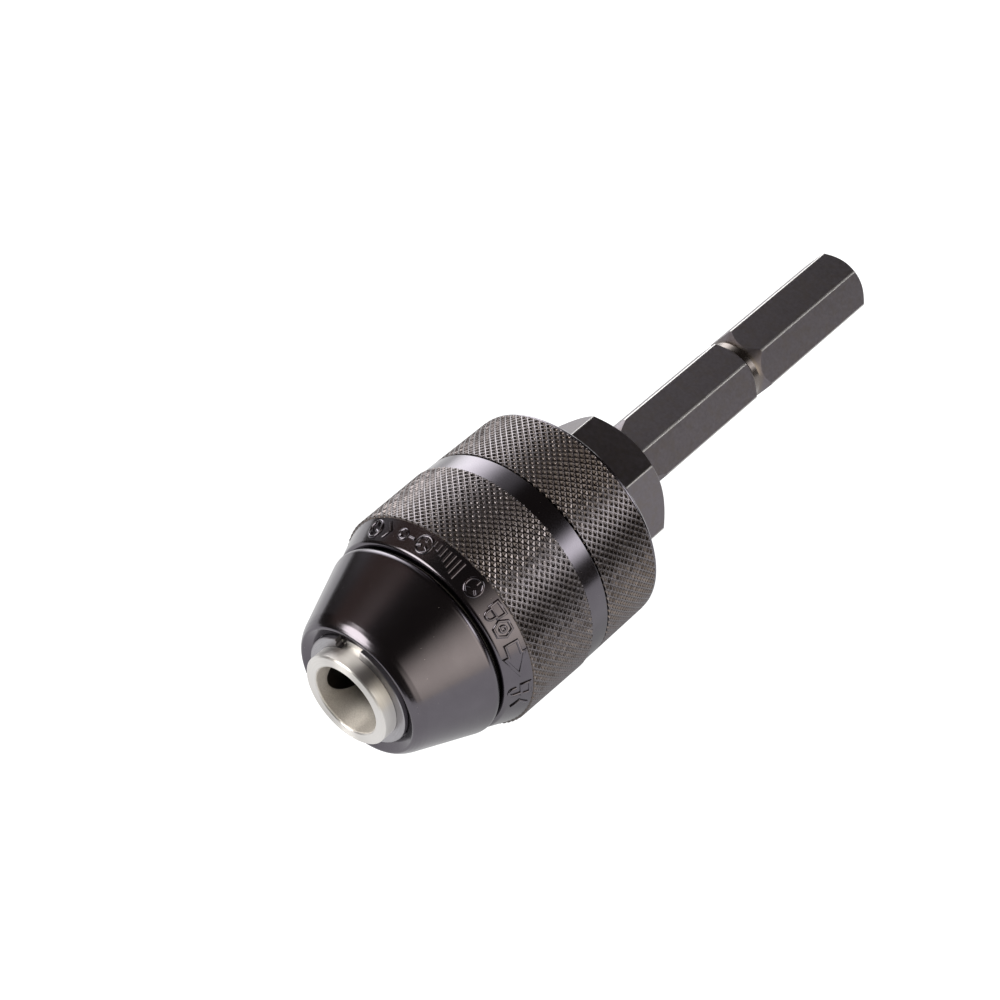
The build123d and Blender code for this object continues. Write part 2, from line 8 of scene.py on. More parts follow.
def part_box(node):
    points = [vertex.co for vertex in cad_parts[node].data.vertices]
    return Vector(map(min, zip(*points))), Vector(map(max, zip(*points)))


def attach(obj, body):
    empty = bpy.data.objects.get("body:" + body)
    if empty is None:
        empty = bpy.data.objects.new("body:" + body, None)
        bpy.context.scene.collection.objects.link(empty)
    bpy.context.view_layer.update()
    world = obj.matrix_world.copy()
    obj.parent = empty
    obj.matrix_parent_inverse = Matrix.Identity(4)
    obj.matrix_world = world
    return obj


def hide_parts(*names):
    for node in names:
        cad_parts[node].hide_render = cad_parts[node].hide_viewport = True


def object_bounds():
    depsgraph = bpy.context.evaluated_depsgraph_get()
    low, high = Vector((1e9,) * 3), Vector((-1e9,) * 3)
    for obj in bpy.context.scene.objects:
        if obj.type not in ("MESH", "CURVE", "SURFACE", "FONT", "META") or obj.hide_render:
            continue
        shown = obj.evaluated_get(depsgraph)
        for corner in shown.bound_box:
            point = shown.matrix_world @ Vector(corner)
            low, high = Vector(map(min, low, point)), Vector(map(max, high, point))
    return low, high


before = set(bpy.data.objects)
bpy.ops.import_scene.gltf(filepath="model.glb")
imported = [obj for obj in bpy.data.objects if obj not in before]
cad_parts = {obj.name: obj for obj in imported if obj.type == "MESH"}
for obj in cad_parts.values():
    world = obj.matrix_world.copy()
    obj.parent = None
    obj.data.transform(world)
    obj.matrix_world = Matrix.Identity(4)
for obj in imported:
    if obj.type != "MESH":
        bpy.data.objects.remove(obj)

# The looks of a keyless drill chuck. The design's sizes below are in millimetres, as "station"
# along the spindle axis (+Y, from the nose face) and "radius" from it. Meshes are in metres.
MM = 0.001
CAD_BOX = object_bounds()


def front(node):
    """The station where a CAD node begins."""
    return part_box(node)[0].y / MM


def rear(node):
    """The station where a CAD node ends."""
    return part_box(node)[1].y / MM


# Camera and light, in metres and degrees
AIM = Vector((-0.00510, 0.04399, 0.01010))
CAMERA_AZIMUTH = 36.908
CAMERA_ELEVATION = 48.347
CAMERA_ROLL = 5.301
CAMERA_DISTANCE = 0.42
CAMERA_LENS = 88.0
LIGHT_AIM = Vector((0, 0.04, 0))
LIGHT_DISTANCE = 0.9
ROOM_COLOUR = (0.040, 0.033, 0.030)

# Stage, in millimetres. A sheet's sides are left, right, near and far.
FLOOR_SIDES = (-3000, 3000, -3000, 3000)
FLOOR_GAP = 0.4
CARD_SIDES = (-135, 400, -700, 350)
CARD_GAP = 0.2
CARD_BRIGHTNESS = 1.05
SHADE_STATION = 50.0
SHADE_RADII = (12.0, 60.0)
SHADE_BRIGHTNESS = 0.35
BACKDROP_RADIUS = 2900
BACKDROP_DROP = 30
BACKDROP_STEPS = 12

# Nose cap
SPIGOT_REAR = rear("nose_cap")
CAP_REAR = SPIGOT_REAR - 2.1
CAP_LIP = ((2.692, 12.606, 0.45), (3.3, 13.214, 1.8), (4.0, 13.686, 3.0), (4.8, 14.076, 4.0))
CAP_REAR_RADIUS = 19.449
CAP_REAR_ROUND = 1.3
CAP_RECESS = (3.87, 10.72)
CAP_FLANGE_FRONT = 4.2
CAP_FLANGE_REAR = 6.2
CAP_FLANGE_BORE = 9.6
CAP_CAVITY_RADIUS = 12.4
CAP_BORE = 14.25
CAP_BORE_FRONT = 13.2
SPIGOT_RADIUS = 16.6

# Front sleeve
SLEEVE_FRONT = front("front_sleeve")
SLEEVE_REAR = rear("front_sleeve")
SLEEVE_LIP_BORE = 17.6
SLEEVE_LIP_REAR = SLEEVE_FRONT + 2.95
SLEEVE_BORE = 19.0
BAND_RADIUS = 19.045
BAND_SLOPE = 0.415
BAND_FRONT_ROUND = 0.8
PLAIN_BAND_RADIUS = 21.40
FRONT_KNURL = (SLEEVE_FRONT + 4.75, SLEEVE_REAR - 4.2)
FRONT_KNURL_RADII = (21.37, 21.61)

# Rear sleeve
HOLDER_FRONT = front("rear_sleeve")
HOLDER_REAR = rear("rear_sleeve")
HOLDER_BORE = 12.6
HOLDER_INSIDE = 19.2
HOLDER_FLOOR = HOLDER_REAR - 2.0
HOLDER_RIM_DROP = 0.05
HOLDER_RIM_GAP = 0.12
HOLDER_RIM_CHAMFER = 0.55
REAR_KNURL = (HOLDER_FRONT, HOLDER_REAR - 0.9)
REAR_KNURL_RADII = (21.40, 21.34)

# Indented diamond knurl: starts of each hand round the sleeve, and steps along one diamond. The
# steps lie closer at a ridge's flanks, as shares of a diamond, each with its share of the depth.
# A pit's own depth is that depth times a share from PIT_LEAST up, by chance, to PIT_SPREAD more.
KNURL_STARTS = 94
KNURL_STEPS = 6
KNURL_PITCH = 1.375
KNURL_DEPTH = 0.32
KNURL_FLANKS = ((0.07, 0.0), (0.19, 0.36), (0.44, 1.0), (0.56, 1.0), (0.81, 0.36), (0.93, 0.0))
PIT_LEAST = 0.85
PIT_SPREAD = 0.3
KNURL_COLUMNS = KNURL_STARTS * KNURL_STEPS
KNURL_MARGIN = 0.15
KNURL_SHARP = 25.0
LATHE_COLUMNS = KNURL_COLUMNS // 3

# Shank adapter
COLLAR_FRONT = rear("chuck_body")
COLLAR_REAR = COLLAR_FRONT + 12.9
COLLAR_FLATS = 24.0
COLLAR_CORNER = 49.1
COLLAR_CORNER_ROUND = 0.2
COLLAR_FACE = 11.75
COLLAR_CHAMFER = 1.6
COLLAR_FRONT_ROUND = 0.3
COLLAR_REAR_ROUND = 0.45
NECK_RADIUS = 6.42
NECK_FILLET = 2.0
NECK_REAR = COLLAR_REAR + 2.5
NECK_RUN_OUT = COLLAR_REAR + 7.3
LEAST_RUN_OUT = 0.02
SHANK_FLATS = 12.7
SHANK_CORNER_ROUND = 0.05
SHANK_TURNED = 7.25
SHANK_REAR = rear("shank_adapter")
SHANK_CHAMFER = 1.35
GROOVE = (COLLAR_REAR + 33.9, COLLAR_REAR + 34.8, COLLAR_REAR + 36.4, COLLAR_REAR + 38.7)
GROOVE_RADIUS = 5.95
GROOVE_ROUND = 0.6
STUD_FRONT = front("shank_adapter")
STUD_CORE = 5.65
STUD_BORE = 3.06
STUD_BORE_REAR = STUD_FRONT + 13.4

# Raised marks on the band, placed by their angle round the sleeve from the angle MARK_ZERO
MARK_ZERO = 61.89
MARK_MIDDLE = SLEEVE_FRONT + 2.6
MARK_WIDTH = 0.5
MARK_HEIGHT = 0.24
MARK_SECTION = (
    (-0.5, -0.6), (-0.5, 0.35), (-0.32, 0.9), (0.0, 1.0), (0.32, 0.9), (0.5, 0.35), (0.5, -0.6))

# Where a finish, a painted shade or a painted highlight changes: the two radii or stations that
# each change lies between
BORE_EDGE = (6.75, 6.85)
# Stations over which the bore's painted shade deepens inwards
BORE_PAINTED_SHADE = (3.0, 8.5)
# The jaw holes, whose walls get a painted shade
JAW_HOLE_INSIDE = (6.74, 6.80)
JAW_HOLE_OUTSIDE = (8.2, 8.35)
JAW_HOLE_FRONT = (0.6, 1.0)
RIDGE_TOPS = (21.12, 21.36)
GROOVE_BROWN = (6.0, 6.4)
SHANK_CORNERS = (7.17, 7.23)
SHANK_ROOT = (7.4, 7.6)
COLLAR_CORNERS = (13.70, 13.78)
TURNED_GRAIN_ROTATION = 0.25


# Meshes

def rounded(outline, closed=True, steps=4):
    """The (station, radius) points of an outline of (station, radius, round) corners, with an arc
    at each round and two more points near the ends of each straight run, which keep it flat."""
    points = []
    count = len(outline)
    for index, (station, radius, size) in enumerate(outline):
        corner = Vector((station, radius))
        neighbours = (outline[index - 1], outline[(index + 1) % count])
        sides = [Vector(neighbour[:2]) - corner for neighbour in neighbours]
        half = sides[0].angle(sides[1]) / 2
        cut = size / math.tan(half)
        reaches = [cut + min(0.1, 0.3 * (side.length - cut)) for side in sides]
        support = [corner + side.normalized() * reach for side, reach in zip(sides, reaches)]
        if closed or index > 0:
            points.append(support[0])
        if size:
            middle = (sides[0].normalized() + sides[1].normalized()).normalized()
            centre = corner + middle * size / math.sin(half)
            ends = [corner + side.normalized() * cut - centre for side in sides]
            for step in range(steps + 1):
                spoke = ends[0].lerp(ends[1], step / steps)
                points.append(centre + spoke.normalized() * size)
        else:
            points.append(corner)
        if closed or index < count - 1:
            points.append(support[1])
    return points


def circle(station, radius, count=LATHE_COLUMNS):
    """A ring of points about the spindle axis, all at one radius."""
    return ring([(station, radius)] * count)


def ring(places, shift=0.0):
    """A ring of points about the spindle axis, one for each (station, radius), evenly spaced from
    +X towards +Z, the first of them shift steps on."""
    turn = 2 * math.pi / len(places)
    angles = [turn * (index + shift) for index in range(len(places))]
    return [(r * math.cos(a), s, r * math.sin(a)) for (s, r), a in zip(places, angles)]


def strip(first, second, here, there, lean):
    """The faces between two neighbouring rings, whose first vertices are here and there. Equal
    rings give four-sided faces, or three-sided ones where lean says which ring is half a step
    on, and a ring of three times the points gives fans."""
    faces = []
    count = min(len(first), len(second))
    for index in range(count):
        a, b = here + index, here + (index + 1) % count
        c, d = there + index, there + (index + 1) % count
        if len(first) == len(second) and lean == 0:
            faces.append((a, b, d, c))
        elif len(first) == len(second) and lean > 0:
            faces += [(a, b, c), (b, d, c)]
        elif len(first) == len(second):
            faces += [(a, d, c), (a, b, d)]
        elif len(second) > len(first):
            f, g, h, i = (there + (3 * index + step) % len(second) for step in range(4))
            faces += [(a, g, f), (a, b, g), (b, h, g), (b, i, h)]
        else:
            f, g, h, i = (here + (3 * index + step) % len(first) for step in range(4))
            faces += [(c, f, g), (c, g, d), (d, g, h), (d, h, i)]
    return faces


def skin(name, rings, closed=True, sharp=35.0):
    """A mesh piece through rings of points, the last joined to the first if closed. A ring is
    (points, lean), where lean is 1 if the next ring is half a step on from it, -1 if it is itself
    half a step on, and else 0."""
    vertices, faces, starts = [], [], []
    for points, lean in rings:
        starts.append(len(vertices))
        vertices += points
    pairs = len(rings) if closed else len(rings) - 1
    for index in range(pairs):
        other = (index + 1) % len(rings)
        (points, lean), others = rings[index], rings[other][0]
        faces += strip(points, others, starts[index], starts[other], lean)
    return piece(name, vertices, faces, sharp)


def piece(name, vertices, faces, sharp=35.0):
    """An object from vertices in millimetres: doubles merged, normals outwards, shaded smooth
    except at edges of more than sharp degrees."""
    mesh = bpy.data.meshes.new(name)
    mesh.from_pydata([(x * MM, y * MM, z * MM) for x, y, z in vertices], [], faces)
    work = bmesh.new()
    work.from_mesh(mesh)
    bmesh.ops.remove_doubles(work, verts=work.verts, dist=1e-7)
    bmesh.ops.dissolve_degenerate(work, edges=work.edges, dist=1e-8)
    bmesh.ops.recalc_face_normals(work, faces=work.faces)
    work.to_mesh(mesh)
    work.free()
    mesh.shade_smooth()
    mesh.set_sharp_from_angle(angle=math.radians(sharp))
    made = bpy.data.objects.new(name, mesh)
    bpy.context.scene.collection.objects.link(made)
    return made


def lathe(outline):
    """The rings of a turned outline."""
    return [(circle(station, radius), 0) for station, radius in outline]


def scatter(first, second):
    """A fixed number from 0 to 1 that looks random, for a pair of whole numbers."""
    value = math.sin(first * 12.9898 + second * 78.233) * 43758.5453
    return value - math.floor(value)


def knurl_place(across, along):
    """Where a knurl vertex lies, in steps across and along, and its depth under the ridges. Flat
    ridges of both hands stand round small pits, each a little different."""
    turns = [(across + along) / KNURL_STEPS, (across - along) / KNURL_STEPS]
    cells = [math.floor(turn) for turn in turns]
    flanks = [KNURL_FLANKS[int((turn - cell) * KNURL_STEPS)] for turn, cell in zip(turns, cells)]
    places = [cell + share for cell, (share, depth) in zip(cells, flanks)]
    chance = scatter(cells[0] % KNURL_STARTS, cells[1] % KNURL_STARTS)
    own_share = PIT_LEAST + PIT_SPREAD * chance
    depth = KNURL_DEPTH * min(flank[1] for flank in flanks) * own_share
    across = KNURL_STEPS * (places[0] + places[1]) / 2
    along = KNURL_STEPS * (places[0] - places[1]) / 2
    return across, along, depth


def knurl_rings(stations, radii, edges):
    """The rings of a diamond knurl between two stations, with its ridges on a cone between two
    radii. It comes up from the first edge radius and goes down to the second. Odd rings are half
    a step on."""
    rows = round((stations[1] - stations[0]) / KNURL_PITCH * 2 * KNURL_STEPS)
    step = (stations[1] - stations[0]) / rows
    rings = []
    for row in range(rows + 1):
        end = min(row, rows - row)
        points = []
        for column in range(KNURL_COLUMNS):
            across = column + (row % 2) / 2 + 0.5
            warped, along, depth = knurl_place(across, row / 2)
            if end < 2:
                warped, along = across, row / 2
            station = stations[0] + 2 * along * step
            radius = radii[0] + (radii[1] - radii[0]) * row / rows - depth
            if end == 0:
                radius = min(radius, edges[0] if row == 0 else edges[1])
            turn = 2 * math.pi * warped / KNURL_COLUMNS
            points.append((radius * math.cos(turn), station, radius * math.sin(turn)))
        rings.append((points, -1 if row % 2 else 1))
    rings[-1] = (rings[-1][0], 0)
    return rings


def nose_cap():
    """The polished conical cover round the nose, with a rolled lip and a recess in front."""
    outline = [
        *CAP_LIP, (CAP_REAR, CAP_REAR_RADIUS, CAP_REAR_ROUND), (CAP_REAR, SPIGOT_RADIUS, 0.0),
        (SPIGOT_REAR, SPIGOT_RADIUS, 0.2), (SPIGOT_REAR, CAP_BORE, 0.0),
        (CAP_BORE_FRONT, CAP_BORE, 0.0), (CAP_FLANGE_REAR, CAP_CAVITY_RADIUS, 0.0),
        (CAP_FLANGE_REAR, CAP_FLANGE_BORE, 0.1), (CAP_FLANGE_FRONT, CAP_FLANGE_BORE, 0.1),
        (CAP_FLANGE_FRONT, CAP_RECESS[1], 0.0), (*CAP_RECESS, 0.1),
    ]
    return skin("nose_cap_shell", lathe(rounded(outline, steps=8)))


def band_radius(station):
    """The mark band's cone at the front of the sleeve."""
    return BAND_RADIUS + (station - SLEEVE_FRONT) * BAND_SLOPE


def front_sleeve():
    """The turned sleeve: mark band, knurl and plain band outside, bore and lip inside."""
    start, end = FRONT_KNURL
    edges = (band_radius(start), PLAIN_BAND_RADIUS)
    band_rear = start - KNURL_MARGIN
    band = rounded([
        (band_rear, band_radius(band_rear), 0.0),
        (SLEEVE_FRONT, band_radius(SLEEVE_FRONT), BAND_FRONT_ROUND),
        (SLEEVE_FRONT, SLEEVE_LIP_BORE, 0.1), (SLEEVE_LIP_REAR, SLEEVE_LIP_BORE, 0.0),
        (SLEEVE_LIP_REAR, SLEEVE_BORE, 0.0), (SLEEVE_REAR, SLEEVE_BORE, 0.1),
        (SLEEVE_REAR, PLAIN_BAND_RADIUS, 0.2), (end + KNURL_MARGIN, PLAIN_BAND_RADIUS, 0.0)],
        closed=False, steps=6)
    knurl = knurl_rings(FRONT_KNURL, FRONT_KNURL_RADII, edges)
    return skin("front_sleeve_shell", lathe(band) + reversed_rings(knurl), sharp=KNURL_SHARP)


def reversed_rings(rings):
    """The same rings from last to first, with each lean turned round."""
    points = [places for places, lean in reversed(rings)]
    leans = [-lean for places, lean in reversed(rings)][1:] + [0]
    return list(zip(points, leans))


def rear_sleeve():
    """The held sleeve: knurl and rim outside, closed behind by a flat web."""
    edges = (REAR_KNURL_RADII[0] - KNURL_DEPTH, REAR_KNURL_RADII[1] - HOLDER_RIM_DROP)
    knurl = knurl_rings(REAR_KNURL, REAR_KNURL_RADII, edges)
    inside = rounded([
        (REAR_KNURL[1] + HOLDER_RIM_GAP, edges[1], 0.0),
        (HOLDER_REAR - HOLDER_RIM_CHAMFER, edges[1], 0.2),
        (HOLDER_REAR, edges[1] - HOLDER_RIM_CHAMFER, 0.2),
        (HOLDER_REAR, HOLDER_BORE, 0.15), (HOLDER_FLOOR, HOLDER_BORE, 0.0),
        (HOLDER_FLOOR, HOLDER_INSIDE, 0.0), (HOLDER_FRONT, HOLDER_INSIDE, 0.0),
        (HOLDER_FRONT, edges[0] - KNURL_MARGIN, 0.0)],
        closed=False, steps=6)
    return skin("rear_sleeve_shell", knurl + lathe(inside), sharp=KNURL_SHARP)


def hex_reach(angle, across_flats, corner, corner_round):
    """How far a hexagonal bar's surface is from its axis at an angle, with rounded corners."""
    half_side = math.radians(30)
    off = math.radians((angle - corner + 30) % 60 - 30)
    centre = (across_flats / 2 - corner_round) / math.cos(half_side)
    tangent = math.atan2(corner_round / 2, centre + corner_round * math.cos(half_side))
    if abs(off) < tangent:
        rise = math.sqrt(corner_round ** 2 - (centre * math.sin(off)) ** 2)
        return centre * math.cos(off) + rise
    return across_flats / 2 / math.cos(half_side - abs(off))


def adapter_outline(angle):
    """The adapter's outline at one angle round it, from the stud's bore to the shank's end. The
    flats of the collar and of the shank cut into the turned form, and every second corner of the
    shank is turned down beside the collar."""
    collar = hex_reach(angle, COLLAR_FLATS, COLLAR_CORNER, COLLAR_CORNER_ROUND)
    corner_rise = COLLAR_FLATS / math.sqrt(3) - COLLAR_FACE
    collar_cut = (collar - COLLAR_FACE) * COLLAR_CHAMFER / corner_rise
    shank = min(SHANK_TURNED, hex_reach(angle, SHANK_FLATS, 0.0, SHANK_CORNER_ROUND))
    relieved = abs((angle + 60) % 120 - 60) < 30
    neck = NECK_RADIUS if relieved else shank
    rise = (shank - neck) / (SHANK_TURNED - NECK_RADIUS)
    run_out = rise * (NECK_RUN_OUT - NECK_REAR) + LEAST_RUN_OUT
    wall = (SHANK_TURNED - shank) / (SHANK_TURNED - GROOVE_RADIUS)
    front_wall = GROOVE[0] + wall * (GROOVE[1] - GROOVE[0])
    rear_wall = GROOVE[3] - wall * (GROOVE[3] - GROOVE[2])
    end_cut = SHANK_CHAMFER - (SHANK_TURNED - shank)
    outline = [
        (STUD_BORE_REAR, 0.0, 0.0), (STUD_BORE_REAR, STUD_BORE, 0.0), (STUD_FRONT, STUD_BORE, 0.1),
        (STUD_FRONT, STUD_CORE, 0.3), (COLLAR_FRONT, STUD_CORE, 0.0),
        (COLLAR_FRONT, COLLAR_FACE, 0.1), (COLLAR_FRONT + collar_cut, collar, COLLAR_FRONT_ROUND),
        (COLLAR_REAR - collar_cut, collar, COLLAR_REAR_ROUND),
        (COLLAR_REAR, COLLAR_FACE, 0.1), (COLLAR_REAR, neck, NECK_FILLET),
        (NECK_REAR, neck, 0.0), (NECK_REAR + run_out, shank, 0.0), (front_wall, shank, 0.1),
        (GROOVE[1], GROOVE_RADIUS, GROOVE_ROUND), (GROOVE[2], GROOVE_RADIUS, GROOVE_ROUND),
        (rear_wall, shank, 0.1), (SHANK_REAR - end_cut, shank, 0.1),
        (SHANK_REAR, SHANK_TURNED - SHANK_CHAMFER, 0.15),
        (SHANK_REAR, 0.0, 0.0),
    ]
    return rounded(outline, closed=False)


def adapter_angles():
    """The angles of the adapter's columns: even, and closer at the corners of both hexagons."""
    angles = set()
    for sixth in range(6):
        angles.update(60 * sixth + 2.5 * step for step in range(24))
        angles.update(60 * sixth + 0.4 * step for step in range(-4, 5))
        angles.update(60 * sixth + COLLAR_CORNER + 0.2 * step for step in range(-5, 6))
    return sorted(angle % 360 for angle in angles)


def shank_adapter():
    """Stud, wrench collar and grooved hex shank, from one bar."""
    angles = adapter_angles()
    turns = [math.radians(angle) for angle in angles]
    outlines = [adapter_outline(angle) for angle in angles]
    rings = []
    for places in zip(*outlines):
        points = [(r * math.cos(t), s, r * math.sin(t)) for (s, r), t in zip(places, turns)]
        rings.append((points, 0))
    return skin("shank_adapter_bar", rings, closed=False)


# Marks

def stroke(path, closed=False):
    """The vertices and faces of a raised stroke along a path of (across, along) points on the
    band, in millimetres from a mark's middle. Its section is a low rounded ridge."""
    points = [Vector(point) for point in path]
    count = len(points)
    vertices, faces = [], []
    for index, point in enumerate(points):
        before = after = Vector((0, 0))
        if closed or index > 0:
            before = (point - points[index - 1]).normalized()
        if closed or index < count - 1:
            after = (points[(index + 1) % count] - point).normalized()
        along = (before + after).normalized()
        edge = after if after.length > 0 else before
        side = Vector((-along.y, along.x)) / max(0.4, abs(along.dot(edge)))
        for offset, height in MARK_SECTION:
            vertices.append((*(point + side * offset * MARK_WIDTH), height * MARK_HEIGHT))
    size = len(MARK_SECTION)
    for index in range(count if closed else count - 1):
        here, there = index * size, (index + 1) % count * size
        for step in range(size):
            following = (step + 1) % size
            faces.append((here + step, here + following, there + following, there + step))
    if not closed:
        faces += [tuple(range(size)), tuple(range((count - 1) * size, count * size))]
    return vertices, faces


def polygon(corners, radius, across=0.0):
    """A closed path: a regular polygon about a place across the band."""
    angles = [2 * math.pi * step / corners for step in range(corners)]
    return [(across + radius * math.cos(a), radius * math.sin(a)) for a in angles]


def jaw_sign(across, radius):
    """A round bore with three jaws in it."""
    paths = [(polygon(20, radius, across), True)]
    for third in range(3):
        angle = math.pi / 2 + 2 * math.pi * third / 3
        reaches = [radius * share for share in (0.9, 0.35)]
        ends = [(across + reach * math.cos(angle), reach * math.sin(angle)) for reach in reaches]
        paths.append((ends, False))
    return paths


def padlock(across, opening):
    """A padlock, with its shackle lifted by opening."""
    body = [(across - 1.2, 0.1), (across + 1.2, 0.1), (across + 1.2, 1.6), (across - 1.2, 1.6)]
    turns = [math.pi * step / 8 for step in range(9)]
    arch = [(across + 0.8 * math.cos(a), -0.55 - opening - 0.8 * math.sin(a)) for a in turns]
    legs = [(across + 0.8, 0.1)] + arch + [(across - 0.8, 0.1 - 1.2 * opening)]
    return [(body, True), (legs, False)]


def bars(across, heights):
    """A row of upright bars, a millimetre apart, from their heights."""
    return [([(across + step, 1.5), (across + step, 1.5 - height)], False)
            for step, height in enumerate(heights)]


def arrow(across):
    """An outlined arrow in the closing direction."""
    return [([(across - 2.3, -0.95), (across - 2.3, 1.15), (across, 1.15), (across, 1.75),
              (across + 4.0, 0.0), (across, -1.75), (across, -0.95)], True)]


def chevron(way):
    """A chevron that points one way (1) or the other (-1) round the band."""
    return [([(-0.6 * way, 1.4), (0.6 * way, 0.0), (-0.6 * way, -1.4)], False)]


def sleeve_marks():
    """All the raised marks, laid on the band's cone as one piece."""
    dash = [([(0.0, 0.0), (1.1, 0.0)], False)]
    rows = [
        (-68, jaw_sign(0.0, 1.5)), (-58, chevron(1)),
        (-44, jaw_sign(-1.5, 0.85) + dash + jaw_sign(3.2, 1.45)),
        (-22, bars(-3.0, (0.8, 1.2, 1.6, 2.0, 2.4, 2.8, 3.1))), (-3, jaw_sign(0.0, 1.5)),
        (12, padlock(0.0, 0.0)), (21, [(polygon(6, 1.5), True), (polygon(12, 0.5), True)]),
        (36, arrow(0.0)), (58, padlock(0.0, 0.7)), (68, chevron(-1)),
    ]
    vertices, faces = [], []
    for angle, paths in rows:
        for path, closed in paths:
            made, sides = stroke(path, closed)
            base = len(vertices)
            for across, along, height in made:
                station = MARK_MIDDLE + along - height * BAND_SLOPE
                radius = band_radius(MARK_MIDDLE + along) + height
                turn = math.radians(MARK_ZERO - angle) - across / band_radius(MARK_MIDDLE)
                vertices.append((radius * math.cos(turn), station, radius * math.sin(turn)))
            faces += [tuple(base + corner for corner in side) for side in sides]
    return piece("sleeve_marks", vertices, faces, sharp=60.0)


# Materials

class Paint:
    """A node material under construction: a Principled shader and short calls for its textures.
    Places on the surface come from the object's own coordinates, in millimetres."""

    def __init__(self, name, base, roughness, metallic=1.0):
        self.material = bpy.data.materials.new(name)
        self.material.use_nodes = True
        self.nodes = self.material.node_tree.nodes
        self.links = self.material.node_tree.links
        self.shader = self.nodes["Principled BSDF"]
        self.shader.inputs["Base Color"].default_value = (*base, 1)
        self.shader.inputs["Roughness"].default_value = roughness
        self.shader.inputs["Metallic"].default_value = metallic
        scaled = self.nodes.new("ShaderNodeVectorMath")
        scaled.operation = "SCALE"
        scaled.inputs["Scale"].default_value = 1 / MM
        self.links.new(self.nodes.new("ShaderNodeTexCoord").outputs["Object"], scaled.inputs[0])
        self.place = scaled.outputs[0]
        parts = self.nodes.new("ShaderNodeSeparateXYZ")
        self.links.new(self.place, parts.inputs[0])
        self.x, self.station, self.z = parts.outputs
        self.radius = self.reach(self.x, self.z)

    def put(self, value, socket):
        """Joins an output to a socket, or sets the socket to a plain value."""
        if isinstance(value, bpy.types.NodeSocket):
            self.links.new(value, socket)
        else:
            socket.default_value = value

    def number(self, operation, first, second=0.0):
        """The result of a Math node."""
        node = self.nodes.new("ShaderNodeMath")
        node.operation = operation
        for value, socket in zip((first, second), node.inputs):
            self.put(value, socket)
        return node.outputs[0]

    def reach(self, first, second):
        """The length of the diagonal over two sides."""
        squares = [self.number("MULTIPLY", side, side) for side in (first, second)]
        return self.number("SQRT", self.number("ADD", *squares))

    def ramp(self, value, low, high, to_low=0.0, to_high=1.0):
        """A smooth step: to_low where value is under low, to_high where it is over high."""
        node = self.nodes.new("ShaderNodeMapRange")
        node.interpolation_type = "SMOOTHSTEP"
        for number, socket in zip((value, low, high, to_low, to_high), node.inputs):
            self.put(number, socket)
        return node.outputs[0]

    def noise(self, scale, detail=2.0, where=None, rough=0.5):
        """Noise with scale features to the millimetre."""
        node = self.nodes.new("ShaderNodeTexNoise")
        self.put(self.place if where is None else where, node.inputs["Vector"])
        node.inputs["Scale"].default_value = scale
        node.inputs["Detail"].default_value = detail
        node.inputs["Roughness"].default_value = rough
        return node.outputs["Fac"]

    def specks(self, scale, size):
        """1 in small round specks of a radius size, in cells of 1 / scale millimetres."""
        node = self.nodes.new("ShaderNodeTexVoronoi")
        self.put(self.place, node.inputs["Vector"])
        node.inputs["Scale"].default_value = scale
        return self.ramp(node.outputs["Distance"], 0.6 * size * scale, size * scale, 1.0, 0.0)

    def turned_lines(self, per_mm):
        """Noise in fine rings about the spindle axis, on turned sides, cones and faces alike."""
        join = self.nodes.new("ShaderNodeCombineXYZ")
        way = self.number("ADD", self.station, self.radius)
        self.put(self.number("MULTIPLY", way, per_mm), join.inputs[0])
        self.put(self.number("MULTIPLY", self.x, 0.12), join.inputs[1])
        self.put(self.number("MULTIPLY", self.z, 0.12), join.inputs[2])
        return self.noise(1.0, 3.0, join.outputs[0], 0.6)

    def mixed(self, share, first, second):
        """A colour between two, by a share from 0 to 1."""
        node = self.nodes.new("ShaderNodeMix")
        node.data_type = "RGBA"
        self.put(share, node.inputs[0])
        for value, socket in zip((first, second), node.inputs[6:8]):
            self.put((*value, 1) if isinstance(value, tuple) else value, socket)
        return node.outputs[2]

    def colour(self, value):
        """Sets the shader's colour."""
        self.put(value, self.shader.inputs["Base Color"])

    def rough(self, value):
        """Sets the shader's roughness."""
        self.put(value, self.shader.inputs["Roughness"])

    def bump(self, height, depth_mm):
        """Adds relief, depth_mm deep where the height goes from 0 to 1."""
        node = self.nodes.new("ShaderNodeBump")
        node.inputs["Strength"].default_value = 1.0
        node.inputs["Distance"].default_value = depth_mm * MM
        self.put(height, node.inputs["Height"])
        if self.shader.inputs["Normal"].links:
            self.links.new(self.shader.inputs["Normal"].links[0].from_socket, node.inputs["Normal"])
        self.links.new(node.outputs[0], self.shader.inputs["Normal"])


def gloss_black():
    """Polished blackened steel: faint turning lines, a fine grain and a few specks of dust."""
    paint = Paint("gloss_black", (0.118, 0.109, 0.125), 0.17)
    lines = paint.turned_lines(14.0)
    grain = paint.noise(6.0, 3.0)
    dusty = paint.ramp(paint.noise(0.7), 0.5, 0.62)
    dust = paint.number("MULTIPLY", paint.specks(1.1, 0.05), dusty)
    cloud = paint.mixed(paint.noise(0.35), (0.108, 0.099, 0.113), (0.130, 0.120, 0.136))
    paint.colour(paint.mixed(dust, cloud, (0.55, 0.50, 0.46)))
    base_rough = paint.ramp(grain, 0.3, 0.7, 0.15, 0.21)
    paint.rough(paint.number("ADD", base_rough, paint.number("MULTIPLY", dust, 0.4)))
    paint.bump(lines, 0.0003)
    paint.bump(grain, 0.0006)
    return paint.material


